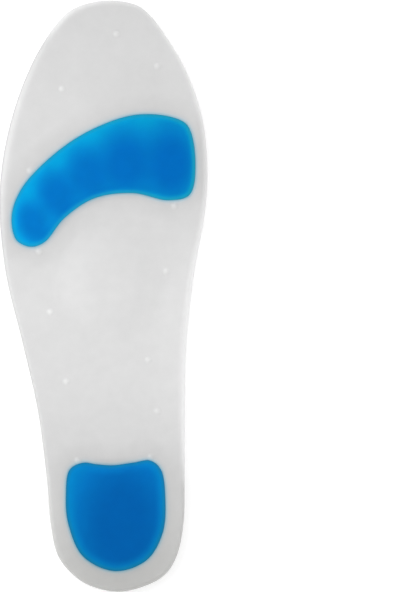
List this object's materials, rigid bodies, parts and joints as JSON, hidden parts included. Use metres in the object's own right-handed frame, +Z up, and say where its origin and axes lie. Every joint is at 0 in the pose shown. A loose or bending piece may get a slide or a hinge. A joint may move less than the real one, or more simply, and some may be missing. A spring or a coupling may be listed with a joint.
{
  "type": "silicone insole",
  "caption": "Full-length translucent silicone shoe insole for a left foot, with a raised arch side, a low dome behind the ball of the foot and soft blue gel pads set in under the ball and the heel.",
  "frame": {"origin": "on the surface that the insole lies on, under the middle of its length and width", "axes": "+X towards the arch (medial) side, +Y towards the toe, +Z up out of the top face"},
  "size_m": [0.0916, 0.26, 0.0076],
  "materials": {
    "clear_silicone": "translucent grey-white silicone with a soft satin skin",
    "forefoot_gel": "translucent blue soft silicone, satin, darker where it is thicker",
    "heel_gel": "translucent blue soft silicone, satin, darker where it is thicker"
  },
  "bodies": {
    "root": {"insole_body": "clear_silicone", "metatarsal_pad": "forefoot_gel", "heel_pad": "heel_gel"}
  },
  "joints": []
}
